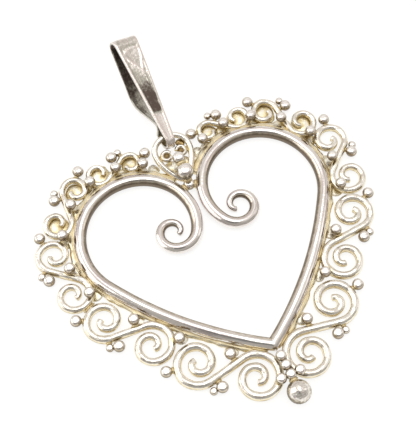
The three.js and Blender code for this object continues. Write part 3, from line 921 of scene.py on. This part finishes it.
def curve_through(points, steps):
    """Smooth curve through points: on each length a cubic whose slope at a point is half the step from the
    point before to the point after."""
    padded = np.concatenate([points[:1], points, points[-1:]])
    share = np.linspace(0, 1, steps, endpoint=False)[:, None]
    lengths = []
    for before, start, end, after in zip(padded, padded[1:], padded[2:], padded[3:]):
        leave = (end - before) / 2
        arrive = (after - start) / 2
        cubic = 2 * start - 2 * end + leave + arrive
        square = 3 * end - 3 * start - 2 * leave - arrive
        lengths.append(((cubic * share + square) * share + leave) * share + start)
    return np.concatenate(lengths)


def bail_outline():
    """The bail seen from its side, as (along, out): round the tail, along the front, over the fold and back
    in a bow to the pinch and behind the loop's wire, in even steps."""
    eye_turn = np.radians(np.linspace(270, 90, half_round_steps))
    eye = strip_middle * circle(eye_turn) - [bail_tail_reach, 0]
    fold_turn = np.radians(np.linspace(90, -90, half_round_steps))
    fold = bail_fold_radius * circle(fold_turn) + [fold_centre, fold_out]
    belly = bail_belly_share * bail_length
    back = curve_through(np.array([
        [fold_centre, fold_out - bail_fold_radius],
        [(fold_centre + belly) / 2, strip_middle - bail_shoulder_share * bow_depth],
        [belly, strip_middle - bow_depth],
        [bail_pinch_share * bail_length, strip_middle - bail_thickness - bail_pinch_gap],
        [bail_eye_radius, -strip_middle],
        [-bail_tail_reach, -strip_middle],
    ]), back_steps)
    outline = np.concatenate([eye, fold, back[1:], eye[:1]])
    along = lengths_along(outline)
    even = np.linspace(0, along[-1], int(along[-1] / bail_station), endpoint=False)
    return np.column_stack([np.interp(even, along, outline[:, 0]), np.interp(even, along, outline[:, 1])])


def strip_section():
    """Section of the strip with rounded corners, as (share of the half width inside the corners, offset
    across, offset out): the outer face, one edge, the inner face, the other edge."""
    face = np.linspace(-1, 1, face_points)
    corner = np.radians(np.linspace(90, -90, corner_points))
    half = strip_thickness / 2 - strip_corner
    edge_across = strip_corner * np.cos(corner)
    edge_out = strip_corner * np.sin(corner) + half * np.sign(np.sin(corner).round(6))
    zero = np.zeros_like(face)
    outer = np.column_stack([face, zero, zero + strip_thickness / 2])
    right = np.column_stack([np.ones_like(corner), edge_across, edge_out])[1:-1]
    inner = np.column_stack([face[::-1], zero, zero - strip_thickness / 2])
    left = np.column_stack([-np.ones_like(corner), -edge_across[::-1], edge_out[::-1]])[1:-1]
    return np.concatenate([outer, right, inner, left])


def eased(value, start, end):
    """0 to 1 as a value goes from start to end, eased at both ends."""
    share = np.clip((value - start) / (end - start), 0, 1)
    return share * share * (3 - 2 * share)


def front_relief(along, across):
    """Masks from 0 to 1 of what the bail's front shows: ridge, shield, panel. The shield lies under an arch
    and over a point of two straight lines. A ridge is a bell curve of the distance to the nearer of them,
    and the panel starts a little below the point."""
    off_middle = across - shield_lean
    arch = shield_top - shield_arch * off_middle ** 2
    slope = np.where(off_middle < 0, shield_left_slope, shield_right_slope)
    point = shield_foot + slope * off_middle
    under_point = (point - along) / np.hypot(1, slope)
    ridge = np.exp(-(np.minimum(np.abs(arch - along), np.abs(under_point)) / ridge_width) ** 2)
    shield = eased(arch - along, 0, shield_edge) * eased(along - point, 0, shield_edge)
    panel = eased(under_point, panel_start, panel_slope) * eased(along, panel_foot, panel_foot + panel_slope)
    return ridge, shield, panel


def bail_turn():
    """How the bail lies: rolled about its length, then pitched about the hinge until its fold is at the place
    where a chain holds it."""
    hang = mounts["chain_hang"] - hinge
    pitch = math.atan2(hang[2], hang[1]) - math.atan2(fold_out * math.cos(bail_roll), fold_centre)
    roll_matrix = np.array([
        [math.cos(bail_roll), 0, math.sin(bail_roll)],
        [0, 1, 0],
        [-math.sin(bail_roll), 0, math.cos(bail_roll)],
    ])
    pitch_matrix = np.array([
        [1, 0, 0],
        [0, math.cos(pitch), -math.sin(pitch)],
        [0, math.sin(pitch), math.cos(pitch)],
    ])
    return pitch_matrix @ roll_matrix


def bail_strip():
    """The section carried round the outline, its width growing from the tail to the top. The front is lowered
    inside the rims, but for the ridges of the shield, and more on the panel. Rubbing brightens the rims, the
    ridges, the fold and the tail. The panel, more towards its lower end, and the inside of the bail, more towards
    the fold, are painted darker as shade."""
    outline = bail_outline()
    ahead = unit(np.roll(outline, -1, axis=0) - np.roll(outline, 1, axis=0))
    square = np.column_stack([-ahead[:, 1], ahead[:, 0]])
    tail_end = bail_tail_reach + strip_middle
    share = (outline[:, :1] + tail_end) / (bail_length + tail_end)
    half_width = (bail_tail_width + (bail_top_width - bail_tail_width) * share) / 2
    section = strip_section()
    across = section[:, 0] * (half_width - strip_corner) + section[:, 1]
    from_edge = half_width - np.abs(across)
    along = np.broadcast_to(outline[:, :1], across.shape)
    ridge, shield, panel = front_relief(along, across)
    on_front = outline[:, 1:] > strip_middle - front_tolerance
    on_outer_face = section[:, 2] > strip_thickness / 2 - face_tolerance
    inside_rims = on_front * on_outer_face * eased(from_edge, rim_width - rim_slope, rim_width)
    lowered = inside_rims * (1 - ridge) * eased(along, fold_centre, fold_centre - smooth_fold)
    out = section[:, 2] - rim_height * lowered - (panel_depth - rim_height) * inside_rims * panel
    flat = outline[:, None] + square[:, None] * out[..., None]
    local = np.stack([across, flat[..., 0], flat[..., 1]], axis=-1)
    length = np.broadcast_to(lengths_along(outline)[:, None], across.shape)
    straight = np.stack([length, across, out], axis=-1)
    piece = skin("bail_strip_silver", hinge + local @ bail_turn().T, straight)
    fold = eased(along, fold_centre - fold_half, fold_centre + fold_half)
    tail = eased(along, tail_start, tail_full)
    wear_and_light = strip_wear + fold_wear * fold + tail_wear * tail + shield_wear * shield
    wear_and_light = wear_and_light - panel_shade_strength * panel * eased(along, panel_shade_from, panel_shade_until)
    wear_and_light = wear_and_light + (1 - wear_and_light) * inside_rims * ridge
    wear_and_light = wear_and_light + (1 - wear_and_light) * eased(from_edge, rim_width, rim_top)
    inside = inside_wear - bail_inside_shade * eased(along, *inside_limits)
    outside = eased(out, -strip_thickness / 4, strip_thickness / 4)
    keep(piece, "wear_and_light", (outside * wear_and_light + (1 - outside) * inside).ravel())
    return piece


# Its tarnish colour is the painted shade of the panel and of the inside of the bail.
strip_silver = silver_material(
    "strip_silver",
    unevenness=0.5,
    bright=(0.95, 0.9, 0.86, 1),
    band=(0.72, 0.6, 0.54, 1),
    wash=(0.52, 0.5, 0.44, 1),
    tarnish=(0.13, 0.1, 0.085, 1),
    wash_level=0.6,
    tarnish_level=-0.05,
    roughness=0.24,
    blotches=0.7,
    pits=0.8,
    bands=0.4,
)
settle(bail_strip(), strip_silver, "grey_silver", "bail", "bail")


# Solder: where two pieces of the pendant touch, a small collar of yellowish solder has run into the joint. A
# flat seam of it follows the outside of the heart wire, wider along the lobes. Cream pools have run into the
# notches, the first spirals, the loop and the gaps beside it, and darker solder lies in the loop's hollows, its
# darkness painted shade of those hollows as well as tarnish.

touching_gap = 0.16
contact_spacing = 1.0
wire_run = 2.6
bead_run = 0.9
longest_lump = 5
collar_reach_limits = (0.85, 1.1)
collar_thinness = 0.45
collar_height = 0.75
table_clearance = 0.01
unit_ball = np.array([0, 0, 0, 1])


def contacts(first, second):
    """Places where two strings of balls touch, best first, at least a millimetre apart: middle of the gap,
    direction across it, the smaller radius, and how far the solder runs along the joint, which is far between
    two wires and little round a bead."""
    run = wire_run if min(len(first), len(second)) > longest_lump else bead_run
    apart = second[None, :, :3] - first[:, None, :3]
    distance = np.linalg.norm(apart, axis=2)
    gap = distance - first[:, None, 3] - second[None, :, 3]
    found = []
    while gap.min() < touching_gap:
        here, there = np.unravel_index(gap.argmin(), gap.shape)
        centre, radius = first[here, :3], first[here, 3]
        across = apart[here, there] / distance[here, there]
        middle = centre + across * (radius + gap[here, there] / 2)
        found.append((middle, across, min(radius, second[there, 3]), run))
        gap[np.linalg.norm(first[:, :3] - centre, axis=1) < contact_spacing + radius] = np.inf
    return found


def all_contacts():
    """Contacts of every two pieces of the pendant whose boxes come near each other."""
    strings = list(strings_of_balls.values())
    lows = np.array([(balls[:, :3] - balls[:, 3:]).min(axis=0) for balls in strings]) - touching_gap
    highs = np.array([(balls[:, :3] + balls[:, 3:]).max(axis=0) for balls in strings]) + touching_gap
    near = np.all((lows[:, None] < highs[None]) & (lows[None] < highs[:, None]), axis=2)
    found = []
    for first, second in np.argwhere(np.triu(near, 1)):
        found += contacts(strings[first], strings[second])
    return found


def melted(name, stretch, centre, random, **grid):
    """A blob of solder: a lumpy ball stretched along three directions, and pressed flat where it would reach
    the table."""
    rings, straight, ends = bead_rings(unit_ball, random, **grid)
    rings = rings @ stretch + centre
    ends = ends @ stretch + centre
    for points in (rings, ends):
        points[..., 2] = np.maximum(points[..., 2], table_clearance)
    piece = skin(name, rings, straight, ends)
    rub_top_shade_sides(piece)
    return piece


def solder_collar(place, random):
    """Blob drawn out along the joint and thin across the gap."""
    middle, across, radius, run = place
    along = unit(np.cross(up, across))
    upright = np.cross(across, along)
    reach = radius * random.uniform(*collar_reach_limits)
    stretch = np.array([
        along * run * reach,
        across * collar_thinness * reach,
        upright * collar_height * radius,
    ])
    return melted("solder", stretch, middle, random, unevenness=0.08, rows=5, sides=9)


solder_gold = silver_material(
    "solder_gold",
    unevenness=0.5,
    bright=(0.97, 0.94, 0.82, 1),
    band=(0.93, 0.86, 0.64, 1),
    wash=(0.95, 0.86, 0.62, 1),
    tarnish=(0.85, 0.72, 0.45, 1),
    wash_level=0.5,
    tarnish_level=0.05,
    roughness=0.26,
)
solder_random = np.random.default_rng(6)
collars = [solder_collar(place, solder_random) for place in all_contacts()]
settle(joined(collars), solder_gold, "gilt_silver", "pendant")

seam_steps = 420
seam_sides = 12
seam_past_tip = 0.02
seam_gap = 0.02
seam_height = 0.26
seam_flatness = 0.6
seam_radius = 0.38
seam_wave = 3.1
seam_unevenness = 0.15
seam_widening = 0.35
seam_wide_until = 14
seam_narrow_from = 22


def solder_seam(side, mirror, random):
    """Uneven bead of solder along the foot of the heart wire's outside, from the cleft to the tip, wider up
    to the end of the lobe and narrowing from there."""
    heading = np.linspace(neck_heading, tip_heading + seam_past_tip, seam_steps)
    outward = np.column_stack([np.sin(heading), -np.cos(heading)])
    plane = heart_line(heading) + outward * (heart_radius + seam_gap)
    along = lengths_along(plane)
    radius = seam_radius + seam_unevenness * waver(along, seam_wave, random)
    radius = radius + seam_widening * eased(along, seam_narrow_from, seam_wide_until)
    path = lifted(plane, seam_height) * [mirror, 1, 1]
    piece = open_wire("solder_seam_" + side, path, radius, seam_sides, tall=seam_flatness)
    settle(piece, solder_gold, "gilt_silver", "pendant")


for side, mirror in halves.items():
    solder_seam(side, mirror, solder_random)

solder_cream = silver_material(
    "solder_cream",
    unevenness=0.8,
    bright=(0.98, 0.95, 0.85, 1),
    band=(0.95, 0.89, 0.73, 1),
    wash=(0.93, 0.83, 0.56, 1),
    tarnish=(0.82, 0.68, 0.38, 1),
    wash_level=0.1,
    tarnish_level=-0.3,
    roughness=0.34,
    blotches=0.9,
)
# Dark solder for the loop's hollows: its brown paints the shade there as well as tarnish.
dark_solder_and_shade = silver_material(
    "dark_solder_and_shade",
    unevenness=0.8,
    bright=(0.72, 0.55, 0.27, 1),
    band=(0.5, 0.36, 0.16, 1),
    wash=(0.44, 0.31, 0.13, 1),
    tarnish=(0.22, 0.15, 0.07, 1),
    wash_level=0.4,
    tarnish_level=-0.3,
    roughness=0.36,
    blotches=1.6,
)

# A pool's place is across, along and up, then its reach and its depth.
loop_pools = [
    (0.75, loop_foot + 1.9, loop_foot_height, 1.05, 0.14),
    (0.95, hinge[1] - 2.25, 0.92, 0.75, 0.1),
]
beside_loop = (2.75, hinge[1] - 2.65, 0, 0.95, 0.25)
# Dark pieces in the loop's top hollow and in the eyes of its curls, painting the shade there as well as tarnish.
top_hollow = (1.15, hinge[1] - 1.15, 1.0, 0.62, 0.1)
curl_hollow_size = (0.5, 0.12)
first_notch_reach = 1.4
notch_reach = 2.4
notch_reach_fall = 0.1
notch_pool_depth = 0.2
towards_heart = 0.3
filled_spirals = 4
spiral_pool_reach = 0.85
spiral_pool_depth = 0.22


def solder_pool(name, place, random, mirror=1):
    """Blob pressed flat: solder that has run out between wires."""
    across, along, height, reach, depth = place
    centre = np.array([mirror * across, along, height])
    return melted(name, np.diag([reach, reach, depth]), centre, random, unevenness=0.2, rows=7, sides=20)


pools = []
hollows = [solder_pool("shade_and_solder_hollows", top_hollow, solder_random)]
for mirror in halves.values():
    for place in loop_pools:
        pools.append(solder_pool("solder_pools", place, solder_random, mirror))
heart_points = strings_of_balls["heart_wire"][:, :3]
for node, balls in strings_of_balls.items():
    middle = balls[:, :3].mean(axis=0)
    if node.startswith("inner_bead"):
        notch = int(node.split("_")[-1])
        reach = notch_reach - notch_reach_fall * notch if notch else first_notch_reach
        nearest = heart_points[np.linalg.norm(heart_points - middle, axis=1).argmin()]
        across, along = (middle + towards_heart * (nearest - middle))[:2]
        place = (across, along, 0, reach * balls[0, 3], notch_pool_depth)
        pools.append(solder_pool("solder_pools", place, solder_random))
    if node.startswith("loop_curl"):
        hollows.append(solder_pool("shade_and_solder_hollows", (*middle, *curl_hollow_size), solder_random))
spiral_pools = [(*centre, 0, spiral_pool_reach * radius, spiral_pool_depth)
                for heading, radius, centre in spirals[:filled_spirals]]
for place in spiral_pools + [beside_loop]:
    for mirror in halves.values():
        pools.append(solder_pool("solder_pools", place, solder_random, mirror))
settle(joined(pools), solder_cream, "gilt_silver", "pendant")
settle(joined(hollows), dark_solder_and_shade, "gilt_silver", "pendant")


# Tarnish and painted shade in the seams: where two pieces meet, polishing doesn't reach and solder and tarnish
# stay, and the darkening there stands for their shade too. Each point keeps how close the nearest other piece
# is, taking wires and beads as strings of balls.

seam_reach = 0.3
search_margin = 2
points_at_once = 2000


def seam_closeness(points, others):
    """1 where another piece touches, falling off over half a millimetre: a bell curve of the gap to the
    nearest ball of any other piece."""
    above_low = np.all(others[:, :3] > points.min(axis=0) - search_margin, axis=1)
    below_high = np.all(others[:, :3] < points.max(axis=0) + search_margin, axis=1)
    others = others[above_low & below_high]
    closeness = []
    for some in np.array_split(points, 1 + len(points) // points_at_once):
        gaps = np.linalg.norm(some[:, None] - others[None, :, :3], axis=2) - others[:, 3]
        closeness.append(np.exp(-(np.maximum(gaps.min(axis=1), 0) / seam_reach) ** 2))
    return np.concatenate(closeness)


# The materials darken each point by this closeness: painted shade in the seams as well as tarnish.
for piece, own_nodes in settled:
    others = np.concatenate([balls for node, balls in strings_of_balls.items() if node not in own_nodes])
    keep(piece, "seam", seam_closeness(corners_of(piece.data), others))


# Table, light and camera: a white table under a soft lamp nearly overhead, with a broad one low at the left
# and a small one at the right. The room is bright overhead, mid-toned behind, darker on the camera's side
# and darkest where the camera stands.

table_half = 2.0
table_height = -0.03 * millimetre
table_grey = (0.3, 0.3, 0.29, 1)
table_glow = 0.84
white = (1, 1, 1, 1)

table_mesh = bpy.data.meshes.new("table")
table_corners = [(-1, -1), (1, -1), (1, 1), (-1, 1)]
table_points = [(x * table_half, y * table_half, table_height) for x, y in table_corners]
table_mesh.from_pydata(table_points, [], [(0, 1, 2, 3)])
table = bpy.data.objects.new("table", table_mesh)
bpy.context.scene.collection.objects.link(table)

table_white = bpy.data.materials.new("table_white")
table_white.use_nodes = True
table_tree = table_white.node_tree
table_tree.nodes.clear()
rays = put(table_tree, "ShaderNodeLightPath").outputs
seen = worked(table_tree, "MAXIMUM", rays["Is Camera Ray"], rays["Is Glossy Ray"])
seen = worked(table_tree, "MAXIMUM", seen, rays["Is Transmission Ray"])
matt = put(table_tree, "ShaderNodeBsdfDiffuse", {"Color": table_grey})
glow_strength = worked(table_tree, "MULTIPLY", seen, table_glow)
glow = put(table_tree, "ShaderNodeEmission", {"Color": white, "Strength": glow_strength})
table_surface = put(table_tree, "ShaderNodeAddShader", {0: matt.outputs[0], 1: glow.outputs[0]})
put(table_tree, "ShaderNodeOutputMaterial", {"Surface": table_surface.outputs[0]})
table_mesh.materials.append(table_white)

world = bpy.data.worlds.new("room")
world.use_nodes = True
room = world.node_tree
room.nodes.clear()
camera_turn = math.radians(25.409)
room_direction = put(room, "ShaderNodeTexCoord").outputs["Generated"]


def towards(elevation):
    """How far a direction in the room points straight behind the pendant at an elevation, or to the camera's
    side at one over 90 degrees: their dot product."""
    out = math.cos(math.radians(elevation))
    wanted = (out * math.sin(camera_turn), out * math.cos(camera_turn), math.sin(math.radians(elevation)))
    inputs = {0: room_direction, 1: wanted}
    return put(room, "ShaderNodeVectorMath", inputs, operation="DOT_PRODUCT").outputs["Value"]


# The room's places, each laid over those before it: elevation, where it starts and is full, colour.
room_places = [
    (45, 0.15, 0.7, (0.74, 0.7, 0.665, 1)),
    (75, 0.84, 0.97, (0.97, 0.95, 0.92, 1)),
    (115, 0.93, 0.985, (0.2, 0.195, 0.19, 1)),
]
room_colour = (0.42, 0.4, 0.375, 1)
for elevation, start, full, colour in room_places:
    room_colour = mixed(room, faded(room, towards(elevation), start, full), room_colour, colour)
white_out = put(room, "ShaderNodeLightPath").outputs["Is Camera Ray"]
room_colour = mixed(room, white_out, room_colour, white)
backdrop = put(room, "ShaderNodeBackground", {"Color": room_colour, "Strength": 1.0})
put(room, "ShaderNodeOutputWorld", {"Surface": backdrop.outputs[0]})
bpy.context.scene.world = world

lamp_distance = 0.3


def soft_lamp(name, azimuth, elevation, size, radiance):
    """Square soft box at a fixed distance, facing the pendant, its azimuth counted clockwise from straight
    behind the pendant as the camera sees it. Power is radiance times pi times area."""
    lamp_data = bpy.data.lights.new(name, "AREA")
    lamp_data.shape = "SQUARE"
    lamp_data.size = size
    lamp_data.energy = radiance * math.pi * size * size
    lamp = bpy.data.objects.new(name, lamp_data)
    turn = camera_turn + math.radians(azimuth)
    rise = math.radians(elevation)
    out = math.cos(rise)
    lamp.location = lamp_distance * Vector((math.sin(turn) * out, math.cos(turn) * out, math.sin(rise)))
    lamp.rotation_euler = (-lamp.location).to_track_quat("-Z", "Y").to_euler()
    bpy.context.scene.collection.objects.link(lamp)


soft_lamp("lamp_above", azimuth=0, elevation=80, size=0.17, radiance=1.2)
soft_lamp("lamp_left", azimuth=-95, elevation=28, size=0.3, radiance=1.0)
soft_lamp("lamp_right", azimuth=80, elevation=30, size=0.12, radiance=0.5)

picture_height = 443
focal_pixels = 1000
camera_elevation = math.radians(65.272)
camera_distance = 110 * millimetre
aim_across = -0.077
aim_past_tip = 15.643
aim_height = 0.7
camera_aim = Vector((aim_across, tip_point[1] + aim_past_tip, aim_height)) * millimetre

camera_data = bpy.data.cameras.new("camera")
camera_data.sensor_fit = "VERTICAL"
camera_data.lens = camera_data.sensor_height * focal_pixels / picture_height
camera_data.clip_start = 5 * millimetre
camera = bpy.data.objects.new("camera", camera_data)
towards_camera = Vector((
    -math.sin(camera_turn) * math.cos(camera_elevation),
    -math.cos(camera_turn) * math.cos(camera_elevation),
    math.sin(camera_elevation),
))
camera.location = camera_aim + camera_distance * towards_camera
camera.rotation_euler = (-towards_camera).to_track_quat("-Z", "Y").to_euler()
bpy.context.scene.collection.objects.link(camera)
bpy.context.scene.camera = camera
bpy.context.scene.view_settings.view_transform = "Standard"
